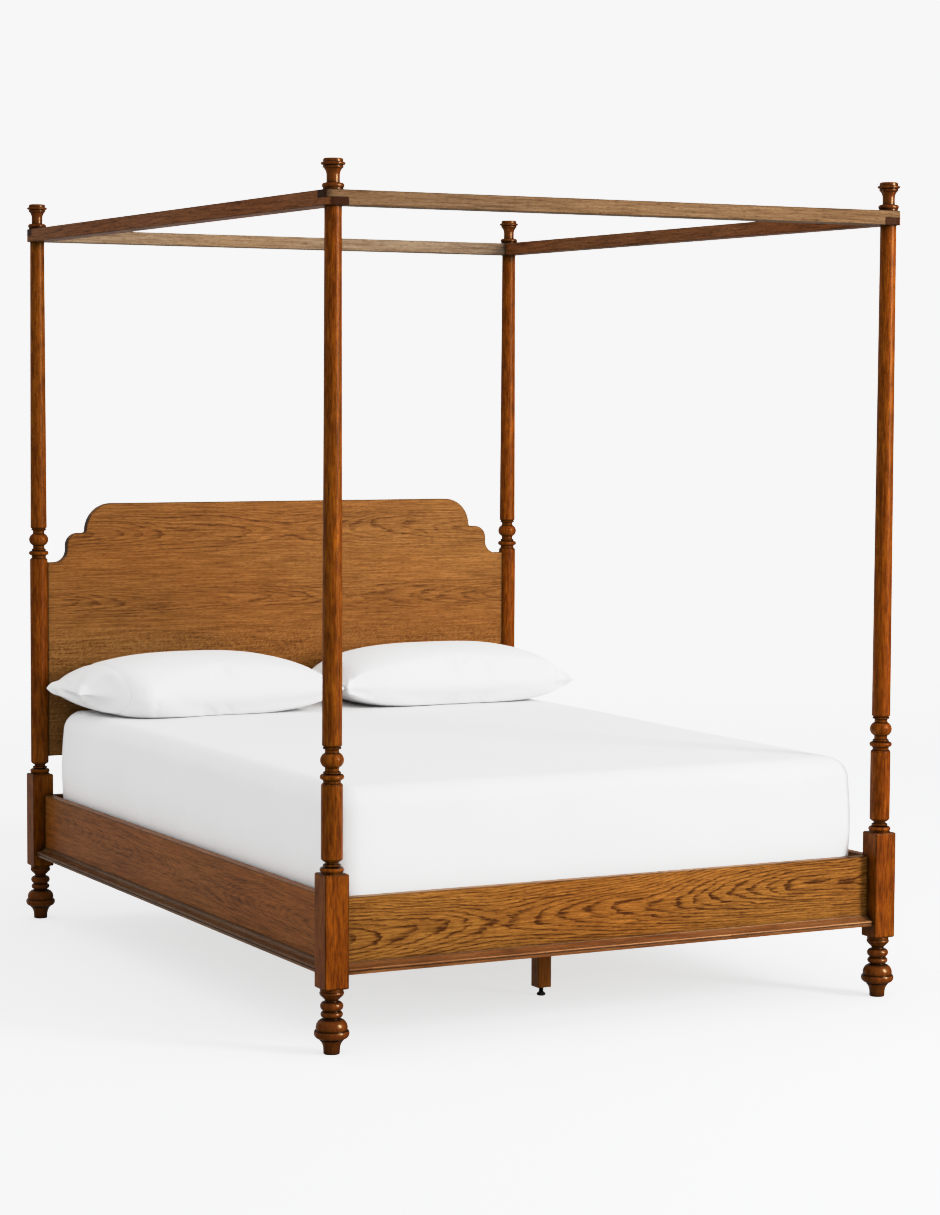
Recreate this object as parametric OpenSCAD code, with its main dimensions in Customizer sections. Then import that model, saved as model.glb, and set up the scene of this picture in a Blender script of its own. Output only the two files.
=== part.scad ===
// Four poster canopy bed in stained oak, queen size, with mattress and pillows.
// Origin: floor level, under the middle of the bed. +Y points to the headboard, +X to the right
// of someone standing at the foot of the bed. "front" in a name is the foot end, "back" the head end.

/* [Mattress and pillows] */
// Width of the mattress
mattress_w = 1524; // [900:1:2000]
// Length of the mattress
mattress_l = 2032; // [1800:1:2500]
// Thickness of the mattress
mattress_h = 330; // [150:1:400]
// Corner radius of the mattress, seen from above
mattress_corner_r = 55; // [30:1:90]
// Space between the mattress and the rails, on each side
mattress_gap = 13; // [5:1:30]
// Depth of a pillow, from headboard to front edge
pillow_d = 480; // [380:1:560]
// Thickness of a pillow at its middle
pillow_h = 178; // [100:1:200]
// How far a pillow reaches past the mattress's side
pillow_overhang = 44; // [0:1:60]
// Corner radius of a pillow, seen from above
pillow_corner_r = 70; // [60:1:90]

/* [Posts] */
// Side of the square block where the rails meet the post
block_w = 64; // [58:1:80]
// Height of the block's lower face above the floor
block_bottom = 162; // [150:1:200]
// Height of the block's upper face above the floor
block_top = 445; // [420:1:550]
// Diameter of the turned lower section, above the block
lower_post_d = 54; // [50:1:60]
// Diameter of the upper post at its lower end
upper_post_d = 50; // [46:1:56]
// Diameter of the upper post under the canopy
upper_post_top_d = 43; // [38:1:50]
// Height of the ball in the foot posts' ring turning
front_ball_z = 722; // [640:1:1300]
// Height of the ball in the head posts' ring turning
back_ball_z = 1160; // [1150:1:1450]
// Diameter of the ball in the ring turning
ball_d = 59; // [54:1:70]
// Diameter of the bun foot's widest ring
bun_rim_d = 88; // [82:1:100]

/* [Canopy] */
// Height of the canopy's upper face above the floor
canopy_top = 2096; // [1650:1:2600]
// Height of a canopy rail's section
canopy_rail_h = 38; // [30:1:60]
// Width of a canopy rail's section
canopy_rail_w = 56; // [50:1:70]
// Radius of the canopy's outer corners
canopy_corner_r = 20; // [5:1:25]
// Height of a finial
finial_h = 75; // [70:1:95]

/* [Rails] */
// Height of the rails' upper edge above the floor
rail_top = 380; // [360:1:430]
// Height of the rails' lower edge above the floor
rail_bottom = 195; // [180:1:210]
// Thickness of a rail
rail_t = 27; // [22:1:32]
// How far the bottom moulding stands out from a rail's face
moulding_out = 29; // [29:1:31]
// Height of the bottom moulding
moulding_h = 26; // [26:1:40]

/* [Headboard] */
// Height of the headboard's straight top edge above the floor
headboard_top = 1268; // [1240:1:1600]
// Height of the headboard's lower edge above the floor
headboard_bottom = 498; // [490:1:700]
// Thickness of the headboard
headboard_t = 24; // [18:1:30]
// Width of the headboard's straight top edge
headboard_flat_w = 1146; // [500:1:1300]
// Radius of the large rounding at each end of the top edge
crest_r = 85; // [60:1:90]
// Radius of the small rounding and of the hollow below it
shoulder_r = 38; // [30:1:40]

/* [Mattress support] */
// Height of the slats' upper face above the floor
slat_top = 315; // [300:1:340]
// Thickness of a slat
slat_t = 18; // [14:1:22]
// Width of a slat
slat_w = 70; // [50:1:90]
// Number of slats
slat_count = 14; // [8:1:18]
// Side of the square centre legs
leg_w = 40; // [32:1:60]
// Height of the centre legs' lower end above the floor
leg_bottom = 24; // [22:1:30]
// Distance from the middle centre leg to the next one
leg_gap = 655; // [400:1:800]
// Height of the centre beam's section
beam_h = 70; // [60:1:90]
// Diameter of a leveller's threaded stem
stem_d = 12; // [8:1:14]
// Diameter of a leveller's pad
pad_d = 24; // [20:1:32]
// Height of a leveller's pad
pad_h = 9; // [8:1:12]

/* [Fits] */
// Radial clearance where one piece turns or slides on another
run_clear = 0.05; // [0.02:0.01:0.1]
// Radial clearance of the holes that drop over the canopy pins
pin_clear = 0.3; // [0.1:0.05:0.5]
// Clearance round joints that are put together by hand
joint_clear = 0.5; // [0.2:0.1:1]
// Clearance between soft pieces and what they lie on
soft_clear = 0.3; // [0.2:0.1:1]

/* [Hidden] */

// Colours
OAK = [0.50, 0.28, 0.11];
OAK_DARK = [0.33, 0.17, 0.07];
OAK_TAN = [0.60, 0.42, 0.24];
PINE = [0.80, 0.66, 0.46];
STEEL = [0.62, 0.63, 0.65];
BLACK = [0.05, 0.05, 0.05];
LINEN = [0.95, 0.95, 0.95];

// Roundness of turned pieces, of small hardware and of arcs in an outline
TURNED = 72;
SMALL = 32;
ARC = 96;

// Where the posts stand: the rails' inner faces are flush with the blocks' inner faces
post_x = mattress_w / 2 + mattress_gap + block_w / 2;
post_y = mattress_l / 2 + mattress_gap + block_w / 2;
inner_x = post_x - block_w / 2;
inner_y = post_y - block_w / 2;
rail_h = rail_top - rail_bottom;
rail_face = block_w / 2 - rail_t;

// Lengths of fixed details
edge = 3;
tenon_l = block_w * 0.4;
tenon_t = 15;
tenon_h = 58;
stud_d = 12;
stud_l = 100;
foot_stud_d = 10;
foot_stud_l = 80;
pin_d = 10;
pin_in_post = 60;
pin_in_finial = 40;
ring_seat = 33;
ring_base = 60;

canopy_bottom = canopy_top - canopy_rail_h;
lap_z = canopy_top - canopy_rail_h / 2;

plate_t = 3;
plate_w = 17;
plate_h = 165;
hook_t = 3;
hook_l = 14;
hook_h = 24;
hook_lip = 8;
hook_gap = 105;
plate_screw_d = 4;
plate_screw_l = 24;
plate_mid_z = (rail_top + rail_bottom) / 2;
plate_screw_gap = plate_h - 14;

ledger_w = 25;
ledger_h = 30;
ledger_top = slat_top - slat_t;
ledger_end_gap = 8;
ledger_screw_count = 8;
ledger_screw_d = 5;
ledger_screw_l = 45;
slat_end_gap = 2;
slat_margin = 45;
slat_pitch = 2 * (inner_y - slat_margin) / (slat_count - 1);
slat_screw_d = 4;
slat_screw_l = 38;
slat_screw_inset = 14;

beam_w = 40;
beam_bottom = ledger_top - beam_h;
hanger_t = 3;
hanger_l = 42;
hanger_ear = 18;
hanger_screw_d = 5;
hanger_screw_l = 22;
leg_stud_d = 10;
leg_stud_l = 90;
insert_d = 17;
insert_l = 16;
stem_l = 62;
stem_well = 16;
spigot_d = 8;
spigot_l = 5;

LEG_Y = [-leg_gap, 0, leg_gap];

mattress_top = slat_top + mattress_h;
pillow_z = mattress_top + soft_clear;
pillow_back_y = post_y - headboard_t / 2 - 6;
pillow_between = 4;

// ---------- outlines and small shapes ----------

// In a turning's half outline: a plain stretch of diameter d from height z0 to z1
module band(z0, z1, d) {
    translate([0, z0]) square([d / 2, z1 - z0]);
}

// In a turning's half outline: a cone from diameter d0 at z0 to d1 at z1
module taper(z0, d0, z1, d1) {
    polygon([[0, z0], [d0 / 2, z0], [d1 / 2, z1], [0, z1]]);
}

// In a turning's half outline: a ring of diameter d with a half-round edge of height h
module bead(z, d, h) {
    translate([d / 2 - h / 2, z]) circle(d = h, $fn = ARC / 2);
    band(z - h / 2, z + h / 2, d - h);
}

// In a turning's half outline: a swelling of diameter d whose side is an arc of radius r
module swell(z, d, r, low, high) {
    intersection() {
        union() {
            translate([d / 2 - r, z]) circle(r = r, $fn = ARC);
            band(z - r, z + r, d - 2 * r);
        }
        band(z - low, z + high, d + 2);
    }
}

// A turned solid from the half outline given as children
module turned() {
    rotate_extrude($fn = TURNED) children();
}

// A round bar along Z
module bar(d, z0, z1, fn = SMALL) {
    translate([0, 0, z0]) cylinder(d = d, h = z1 - z0, $fn = fn);
}

// A rectangle with rounded corners, centred on the origin
module rounded_rect(w, l, r) {
    square([w - 2 * r, l], center = true);
    square([w, l - 2 * r], center = true);
    for (x = [-1, 1], y = [-1, 1])
        translate([x * (w / 2 - r), y * (l / 2 - r)]) circle(r = r, $fn = ARC / 2);
}

// A rectangle with cut corners, centred on the origin
module eased_rect(w, l, c) {
    x = w / 2;
    y = l / 2;
    polygon([
        [x, y - c], [x - c, y], [c - x, y], [-x, y - c],
        [-x, c - y], [c - x, -y], [x - c, -y], [x, c - y]
    ]);
}

// A screw pointing along +Z from a countersunk head whose face is at the origin
module screw(d, l) {
    cylinder(d1 = 2 * d, d2 = d, h = d / 2, $fn = SMALL);
    cylinder(d = d, h = l, $fn = SMALL);
}

// ---------- places ----------

// Mirrors the front left corner's shape to corner i: 0 front left, 1 front right, 2 and 3 back
module at_corner(i) {
    mirror([i % 2, 0, 0]) mirror([0, i < 2 ? 0 : 1, 0]) translate([-post_x, -post_y, 0]) children();
}

function ball_z(i) = i < 2 ? front_ball_z : back_ball_z;
function seat_z(i) = ball_z(i) + ring_seat;

// ---------- posts ----------

module bun_foot(i) {
    color(OAK_DARK) at_corner(i) difference() {
        turned() {
            taper(0, 38, 1.5, 40.5);
            taper(1.5, 40.5, 14, 42);
            difference() {
                band(13, 35, 64);
                translate([52, 12.5]) circle(r = 31, $fn = ARC);
            }
            swell(51.5, bun_rim_d, 14, 17.5, 6.5);
            swell(66, 79, 22, 10, 21.8);
            band(86, 135, 33);
            band(86, 92, 40);
            bead(98.2, 55.5, 15.5);
            band(104, 109, 42);
            bead(118.7, 57.5, 23);
            taper(133.5, 33, 146, 58);
            bead(150.5, 61, 10);
            band(146, 157, 56);
            band(155, block_bottom, 58);
        }
        foot_stud_bar();
    }
}

// The stud that ties a bun foot to its post
module foot_stud_bar() {
    bar(foot_stud_d, block_bottom - foot_stud_l / 2, block_bottom + foot_stud_l / 2);
}

// The square block with its eased edges
module post_block() {
    h = block_top - block_bottom;
    translate([0, 0, block_bottom + h / 2]) intersection() {
        linear_extrude(h, center = true) eased_rect(block_w, block_w, 1.5);
        rotate([90, 0, 0]) linear_extrude(block_w, center = true) eased_rect(block_w, h, edge);
        rotate([90, 0, 90]) linear_extrude(block_w, center = true) eased_rect(block_w, h, edge);
    }
}

// The ring turning round its ball, with the top of the section below it
module ring_turning(z) {
    taper(z - ring_base - 1, lower_post_d, z - ring_base + 3, lower_post_d - 5);
    band(z - ring_base, z - 44, 44);
    bead(z - 41, 60.5, 14);
    bead(z - 30.5, 44.5, 6);
    band(z - 40, z + 29, 35.5);
    swell(z, ball_d, 20, 19.5, 19.5);
    bead(z + 29.5, 46.5, 4.5);
    band(z + 28, z + ring_seat, 42);
}

module lower_post(i) {
    color(OAK) difference() {
        at_corner(i) {
            post_block();
            turned() {
                band(block_top - 2, block_top + 4, 55);
                bead(block_top + 9, 60, 13);
                bead(block_top + 20, 44.5, 6);
                band(block_top, block_top + 31, 33);
                taper(block_top + 29.5, 42, block_top + 35, lower_post_d);
                band(block_top + 35, ball_z(i) - ring_base - 1, lower_post_d);
                ring_turning(ball_z(i));
            }
        }
        at_corner(i) {
            foot_stud_bar();
            post_stud_bar(i);
            end_rail_tenon(joint_clear / 2);
            slot_plate_space();
            hook_pockets();
            plate_screw_bars(-1);
            if (i > 1) headboard_groove();
        }
    }
}

// The stud that ties an upper post to its lower post
module post_stud_bar(i) {
    bar(stud_d, seat_z(i) - stud_l / 2, seat_z(i) + stud_l / 2);
}

// The groove that houses the headboard's tongue
module headboard_groove() {
    tongue(joint_clear / 2);
}

module upper_post(i) {
    z = seat_z(i);
    color(OAK) at_corner(i) difference() {
        turned() {
            taper(z, 43, z + 3.5, upper_post_d);
            taper(z + 3.5, upper_post_d, canopy_bottom, upper_post_top_d);
        }
        post_stud_bar(i);
        canopy_pin_bar(0);
    }
}

// A canopy pin, or with a clearance the hole that drops over it
module canopy_pin_bar(clear) {
    bar(pin_d + 2 * clear, canopy_bottom - pin_in_post, canopy_top + pin_in_finial + 4 * clear);
}

module finial(i) {
    color(OAK_DARK) at_corner(i) translate([0, 0, canopy_top]) difference() {
        turned() {
            band(0, 6, 50);
            bead(9.5, 55, 14);
            difference() {
                band(14, finial_h - 24, 44);
                translate([41.5, finial_h - 41]) circle(r = 25, $fn = ARC);
                translate([16.5, 10]) square([30, finial_h - 51]);
            }
            bead(finial_h - 20.5, 51, 8);
            bead(finial_h - 13, 60.5, 7.5);
            band(finial_h - 13, finial_h - 4.5, 49.5);
            bead(finial_h - 4.5, 49.5, 9);
        }
        bar(pin_d + 2 * pin_clear, -1, pin_in_finial + 4 * pin_clear);
    }
}

// ---------- canopy ----------

// A rail seen from above: it lies along X with rounded corners on its outer side, -Y
module rounded_ends(l) {
    w = canopy_rail_w;
    r = canopy_corner_r;
    translate([-l / 2 + r, -w / 2]) square([l - 2 * r, w]);
    translate([-l / 2, -w / 2 + r]) square([l, w - r]);
    for (side = [-1, 1])
        translate([side * (l / 2 - r), -w / 2 + r]) circle(r = r, $fn = ARC / 2);
}

// A canopy rail of length l: one half of its height runs through the corners, the other stops
// short of them, so that two rails lap
module canopy_rail(l, through_z, short_z) {
    half = canopy_rail_h / 2;
    translate([0, 0, through_z]) linear_extrude(half) rounded_ends(l);
    translate([0, 0, short_z]) linear_extrude(half)
        square([l - 2 * canopy_rail_w, canopy_rail_w], center = true);
}

module pin_holes() {
    for (i = [0:3]) at_corner(i) canopy_pin_bar(pin_clear);
}

// side -1 is the foot end, 1 the head end
module canopy_cross_rail(side) {
    color(OAK_TAN) difference() {
        mirror([0, side > 0 ? 1 : 0, 0]) translate([0, -post_y, 0])
            canopy_rail(2 * post_x + canopy_rail_w, lap_z, canopy_bottom);
        pin_holes();
    }
}

// side -1 is the left, 1 the right
module canopy_side_rail(side) {
    color(OAK) difference() {
        mirror([side > 0 ? 1 : 0, 0, 0]) translate([-post_x, 0, 0]) rotate(-90)
            canopy_rail(2 * post_y + canopy_rail_w, canopy_bottom, lap_z);
        pin_holes();
    }
}

// ---------- headboard ----------

// The headboard seen from the front, X and Z: shoulders, small and large roundings
module headboard_outline() {
    low = headboard_bottom;
    flat = headboard_flat_w / 2;
    step_z = headboard_top - crest_r - 5;
    step_x = flat + crest_r;
    shoulder_x = step_x + 24 + shoulder_r;
    round_z = step_z - shoulder_r;
    seat = round_z - shoulder_r - 12;
    translate([-flat, low]) square([2 * flat, headboard_top - low]);
    translate([-step_x, low]) square([2 * step_x, headboard_top - crest_r - low]);
    translate([-shoulder_x + shoulder_r, low])
        square([2 * (shoulder_x - shoulder_r), step_z - low]);
    translate([-shoulder_x, low]) square([2 * shoulder_x, round_z - low]);
    translate([-post_x, low]) square([2 * post_x, seat - low]);
    for (side = [0, 1]) mirror([side, 0]) {
        translate([flat, headboard_top - crest_r]) circle(r = crest_r, $fn = ARC);
        translate([shoulder_x - shoulder_r, round_z]) circle(r = shoulder_r, $fn = ARC);
        hollow(shoulder_x, seat, shoulder_r);
        hollow(step_x, step_z, 8);
    }
}

// Fills an inner corner at (x, z) with a hollow of radius r
module hollow(x, z, r) {
    difference() {
        translate([x - 1, z - 1]) square(r + 1);
        translate([x + r, z + r]) circle(r = r, $fn = ARC / 2);
    }
}

// The headboard's tongue, or with a clearance the groove for it, at the back left post's side
module tongue(clear) {
    t = headboard_t / 2 + 2 * clear;
    low = headboard_bottom + 8 - clear;
    high = headboard_top - crest_r - 2 * shoulder_r - 30 + clear;
    reach = lower_post_d / 2 - 12 - clear;
    translate([reach, -t / 2, low]) cube([lower_post_d / 2 + 10 - reach, t, high - low]);
}

module headboard_panel() {
    color(OAK) {
        difference() {
            translate([0, post_y, 0]) rotate([90, 0, 0])
                linear_extrude(headboard_t, center = true) headboard_outline();
            for (i = [2, 3]) at_corner(i) bar(lower_post_d, 0, headboard_top, TURNED);
        }
        for (i = [2, 3]) at_corner(i) tongue(0);
    }
}

// ---------- rails ----------

// The tenon at one end of a head or foot rail, at the front left block
module end_rail_tenon(clear) {
    t = tenon_t + 2 * clear;
    h = tenon_h + 2 * clear;
    mid_y = rail_face + rail_t / 2;
    x0 = block_w / 2 - tenon_l - clear;
    translate([x0, mid_y - t / 2, plate_mid_z - h / 2]) cube([tenon_l + clear + 1, t, h]);
}

// The head or foot rail's board with its tenons, at the foot end
module end_rail_board() {
    translate([-inner_x, rail_face - post_y, rail_bottom]) cube([2 * inner_x, rail_t, rail_h]);
    for (i = [0, 1]) at_corner(i) end_rail_tenon(0);
}

module foot_rail() {
    color(OAK) difference() {
        end_rail_board();
        hanger_screw_bars(-1);
    }
}

module head_rail() {
    color(OAK_DARK) difference() {
        mirror([0, 1, 0]) end_rail_board();
        hanger_screw_bars(1);
    }
}

// side -1 is the left, 1 the right
module side_rail(side) {
    color(OAK) difference() {
        translate([side > 0 ? inner_x : -inner_x - rail_t, -inner_y, rail_bottom])
            cube([rail_t, 2 * inner_y, rail_h]);
        for (i = [0:3]) at_corner(i) {
            hook_plate(joint_clear / 2);
            plate_screw_bars(1);
        }
        ledger_screw_bars(side);
    }
}

// The bottom moulding in section: u stands out from the rail's face, v is height
module moulding_outline() {
    out = moulding_out - 3;
    difference() {
        union() {
            square([out + 2, 7]);
            square([out, 14.5]);
            translate([out - 0.5, 11.4]) circle(d = 6.4, $fn = SMALL);
            polygon([[0, 14], [out - 1, 14], [out - 2, 15], [4, moulding_h - 2.5], [0, moulding_h - 2.5]]);
            square([3, moulding_h]);
        }
        translate([moulding_out - 8, moulding_h + 11.2]) circle(r = 21.7, $fn = ARC);
        translate([out + 1.7, 7.6]) circle(d = 1.8, $fn = SMALL);
    }
}

module foot_moulding() {
    color(OAK_DARK) translate([-inner_x, rail_face - post_y, rail_bottom])
        rotate([90, 0, 90]) linear_extrude(2 * inner_x) mirror([1, 0]) moulding_outline();
}

module side_moulding(side) {
    color(OAK_DARK) mirror([side > 0 ? 1 : 0, 0, 0])
        translate([rail_face - post_x, inner_y, rail_bottom])
            rotate([90, 0, 0]) linear_extrude(2 * inner_y) mirror([1, 0]) moulding_outline();
}

// ---------- rail hooks ----------

// The steel plate let into a side rail's end, with its two hooks, at the front left corner
module hook_plate(clear) {
    mid_x = rail_face + rail_t / 2;
    h = plate_h + 2 * clear;
    w = plate_w + 2 * clear;
    translate([mid_x - w / 2, block_w / 2 - clear, plate_mid_z - h / 2]) cube([w, plate_t + clear, h]);
}

// The two hooks: each reaches into the block and drops behind the slotted plate
module hooks() {
    mid_x = rail_face + rail_t / 2;
    root_y = block_w / 2;
    for (side = [-1, 1]) translate([mid_x - hook_t / 2, root_y, plate_mid_z + side * hook_gap / 2]) {
        translate([0, -hook_l, -hook_h / 2]) cube([hook_t, hook_l + 1, hook_h]);
        translate([0, -hook_l, -hook_h / 2 - hook_lip])
            cube([hook_t, hook_l - plate_t - joint_clear, hook_lip + 1]);
    }
}

module rail_hook_plates() {
    color(STEEL) for (i = [0:3]) at_corner(i) difference() {
        union() {
            hook_plate(0);
            hooks();
        }
        plate_screw_bars(1);
    }
}

// The recess for a slotted plate in a block's face
module slot_plate_space() {
    mid_x = rail_face + rail_t / 2;
    translate([mid_x - plate_w / 2, block_w / 2 - plate_t, plate_mid_z - plate_h / 2])
        cube([plate_w, plate_t + 1, plate_h]);
}

// The room behind the slotted plate for the hooks
module hook_pockets() {
    mid_x = rail_face + rail_t / 2;
    deep = hook_l + 2;
    for (side = [-1, 1])
        translate([mid_x - hook_t / 2 - joint_clear, block_w / 2 - deep,
                   plate_mid_z + side * hook_gap / 2 - hook_h / 2 - hook_lip - 2])
            cube([hook_t + 2 * joint_clear, deep, hook_h + 2 * hook_lip + 4]);
}

module post_slot_plates() {
    color(STEEL) for (i = [0:3]) at_corner(i) difference() {
        intersection() {
            slot_plate_space();
            translate([0, block_w / 2 - plate_t, 0]) cube([2 * block_w, plate_t, canopy_top]);
        }
        slot_cuts();
        plate_screw_bars(-1);
    }
}

// The slots that the hooks pass through, tall enough to drop in
module slot_cuts() {
    mid_x = rail_face + rail_t / 2;
    for (side = [-1, 1])
        translate([mid_x - hook_t / 2 - joint_clear, block_w / 2 - plate_t - 1,
                   plate_mid_z + side * hook_gap / 2 - hook_h / 2 - joint_clear])
            cube([hook_t + 2 * joint_clear, plate_t + 2, hook_h + hook_lip + 2 * joint_clear]);
}

// Screws of the plates at the front left corner: dir 1 runs into the rail, -1 into the block
module plate_screw_bars(dir) {
    mid_x = rail_face + rail_t / 2;
    for (side = [-1, 1])
        translate([mid_x, block_w / 2, plate_mid_z + side * plate_screw_gap / 2])
            rotate([-90 * dir, 0, 0]) screw(plate_screw_d, plate_screw_l);
}

module plate_screws() {
    color(STEEL) for (i = [0:3], dir = [-1, 1]) at_corner(i) plate_screw_bars(dir);
}

// ---------- mattress support ----------

// side -1 is the left, 1 the right
module ledger(side) {
    l = 2 * (inner_y - ledger_end_gap);
    color(PINE) difference() {
        translate([side > 0 ? inner_x - ledger_w : -inner_x, -l / 2, ledger_top - ledger_h])
            cube([ledger_w, l, ledger_h]);
        ledger_screw_bars(side);
        slat_screw_bars(side);
    }
}

module ledger_screw_bars(side) {
    pitch = 2 * (inner_y - slat_margin - 60) / (ledger_screw_count - 1);
    for (k = [0:ledger_screw_count - 1])
        translate([side * (inner_x - ledger_w), (k - (ledger_screw_count - 1) / 2) * pitch,
                   ledger_top - ledger_h / 2])
            rotate([0, 90 * side, 0]) screw(ledger_screw_d, ledger_screw_l);
}

module ledger_screws() {
    color(STEEL) for (side = [-1, 1]) ledger_screw_bars(side);
}

function slat_y(k) = (k - (slat_count - 1) / 2) * slat_pitch;

module slat_screw_bars(side) {
    for (k = [0:slat_count - 1])
        translate([side * (inner_x - slat_screw_inset), slat_y(k), slat_top])
            rotate([180, 0, 0]) screw(slat_screw_d, slat_screw_l);
}

module slats() {
    l = 2 * (inner_x - slat_end_gap);
    color(PINE) difference() {
        for (k = [0:slat_count - 1])
            translate([-l / 2, slat_y(k) - slat_w / 2, slat_top - slat_t]) cube([l, slat_w, slat_t]);
        for (side = [-1, 1]) slat_screw_bars(side);
    }
}

module slat_screws() {
    color(STEEL) for (side = [-1, 1]) slat_screw_bars(side);
}

module centre_beam() {
    l = 2 * (inner_y - hanger_t);
    color(PINE) difference() {
        translate([-beam_w / 2, -l / 2, beam_bottom]) cube([beam_w, l, beam_h]);
        for (y = LEG_Y) translate([0, y, 0]) leg_stud_bar();
    }
}

// The steel stirrup that holds the beam's end, at the foot end
module beam_hanger() {
    w = beam_w + 2 * hanger_t;
    translate([0, -inner_y, 0]) {
        translate([-w / 2 - hanger_ear, 0, beam_bottom - hanger_t])
            cube([w + 2 * hanger_ear, hanger_t, beam_h - 2]);
        translate([-w / 2, 0, beam_bottom - hanger_t]) cube([w, hanger_l, hanger_t]);
        for (side = [-1, 1])
            translate([side * (w - hanger_t) / 2 - hanger_t / 2, 0, beam_bottom - hanger_t])
                cube([hanger_t, hanger_l, beam_h - 2]);
    }
}

module beam_hangers() {
    color(STEEL) for (end = [-1, 1]) difference() {
        mirror([0, end > 0 ? 1 : 0, 0]) beam_hanger();
        hanger_screw_bars(end);
    }
}

// end -1 is the foot end, 1 the head end
module hanger_screw_bars(end) {
    x = beam_w / 2 + hanger_t + hanger_ear / 2;
    for (side = [-1, 1], z = [0.25, 0.75])
        translate([side * x, end * (inner_y - hanger_t), beam_bottom + z * (beam_h - 5)])
            rotate([-90 * end, 0, 0]) screw(hanger_screw_d, hanger_screw_l);
}

module hanger_screws() {
    color(STEEL) for (end = [-1, 1]) hanger_screw_bars(end);
}

// ---------- centre legs and levellers ----------

// k is 0 for the front leg, 1 for the middle one, 2 for the back one
module centre_leg(k) {
    color(OAK_DARK) translate([0, LEG_Y[k], 0]) difference() {
        translate([0, 0, leg_bottom]) linear_extrude(beam_bottom - leg_bottom)
            eased_rect(leg_w, leg_w, 1.5);
        leg_stud_bar();
        bar(insert_d, leg_bottom - 1, leg_bottom + insert_l);
        bar(stem_d + 1, leg_bottom, pad_h + stem_l + stem_well);
    }
}

module leg_stud_bar() {
    bar(leg_stud_d, beam_bottom - leg_stud_l / 2, beam_bottom + leg_stud_l / 2);
}

module leg_studs() {
    color(STEEL) for (y = LEG_Y) translate([0, y, 0]) leg_stud_bar();
}

module leveller_inserts() {
    color(STEEL) for (y = LEG_Y) translate([0, y, leg_bottom]) difference() {
        bar(insert_d, 0, insert_l);
        bar(stem_d + 2 * run_clear, -1, insert_l + 1);
    }
}

module leveller_stem(k) {
    color(BLACK) translate([0, LEG_Y[k], 0]) {
        bar(stem_d, pad_h, pad_h + stem_l - 1);
        translate([0, 0, pad_h + stem_l - 1])
            cylinder(d1 = stem_d, d2 = stem_d - 2, h = 1, $fn = SMALL);
        bar(spigot_d, pad_h - spigot_l + run_clear, pad_h + 1);
    }
}

module leveller_pad(k) {
    color(BLACK) translate([0, LEG_Y[k], 0]) difference() {
        turned() {
            band(0, pad_h - 2, pad_d - 4);
            bead(pad_h / 2 - 1, pad_d, pad_h - 2);
            taper(pad_h - 3, pad_d - 5, pad_h - run_clear, stem_d + 3);
        }
        bar(spigot_d + 2 * run_clear, pad_h - spigot_l, pad_h + 1);
    }
}

// ---------- hidden studs and pins ----------

module canopy_pins() {
    color(STEEL) for (i = [0:3]) at_corner(i) canopy_pin_bar(0);
}

module post_joint_studs() {
    color(STEEL) for (i = [0:3]) at_corner(i) post_stud_bar(i);
}

module bun_foot_studs() {
    color(STEEL) for (i = [0:3]) at_corner(i) foot_stud_bar();
}

// ---------- soft pieces ----------

module mattress() {
    color(LINEN) translate([0, 0, slat_top]) linear_extrude(mattress_h)
        rounded_rect(mattress_w, mattress_l, mattress_corner_r);
}

// A pillow's section, w wide: crowned above and a little below its seam
module pillow_section(w) {
    rise = pillow_h * 0.66;
    drop = pillow_h - rise;
    top_r = (w * w / 4 + rise * rise) / (2 * rise);
    low_r = (w * w / 4 + drop * drop) / (2 * drop);
    intersection() {
        translate([-w / 2 + 4, 0]) square([w - 8, pillow_h]);
        translate([0, pillow_h - top_r]) circle(r = top_r, $fn = 6 * ARC);
        translate([0, low_r]) circle(r = low_r, $fn = 6 * ARC);
    }
}

// side -1 is the left, 1 the right
module pillow(side) {
    l = mattress_w / 2 + pillow_overhang - pillow_between / 2;
    color(LINEN) translate([side * (pillow_between / 2 + l / 2), pillow_back_y - pillow_d / 2, pillow_z])
        intersection() {
            rotate([90, 0, 0]) linear_extrude(pillow_d, center = true) pillow_section(l);
            rotate([90, 0, 90]) linear_extrude(l, center = true) pillow_section(pillow_d);
            linear_extrude(pillow_h + 1) rounded_rect(l, pillow_d, pillow_corner_r);
        }
}

// ---------- the nodes ----------

bun_foot(0);  // bun_foot_front_left
bun_foot(1);  // bun_foot_front_right
bun_foot(2);  // bun_foot_back_left
bun_foot(3);  // bun_foot_back_right
lower_post(0);  // lower_post_front_left
lower_post(1);  // lower_post_front_right
lower_post(2);  // lower_post_back_left
lower_post(3);  // lower_post_back_right
upper_post(0);  // upper_post_front_left
upper_post(1);  // upper_post_front_right
upper_post(2);  // upper_post_back_left
upper_post(3);  // upper_post_back_right
finial(0);  // finial_front_left
finial(1);  // finial_front_right
finial(2);  // finial_back_left
finial(3);  // finial_back_right
canopy_cross_rail(-1);  // canopy_rail_front
canopy_cross_rail(1);  // canopy_rail_back
canopy_side_rail(-1);  // canopy_rail_left
canopy_side_rail(1);  // canopy_rail_right
canopy_pins();
post_joint_studs();
bun_foot_studs();
headboard_panel();
head_rail();
foot_rail();
side_rail(-1);  // side_rail_left
side_rail(1);  // side_rail_right
foot_moulding();
side_moulding(-1);  // side_moulding_left
side_moulding(1);  // side_moulding_right
rail_hook_plates();
post_slot_plates();
plate_screws();
ledger(-1);  // ledger_left
ledger(1);  // ledger_right
ledger_screws();
centre_beam();
beam_hangers();
hanger_screws();
slats();
slat_screws();
centre_leg(0);  // centre_leg_front
centre_leg(1);  // centre_leg_middle
centre_leg(2);  // centre_leg_back
leg_studs();
leveller_inserts();
leveller_stem(0);  // leveller_stem_front
leveller_stem(1);  // leveller_stem_middle
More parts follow.
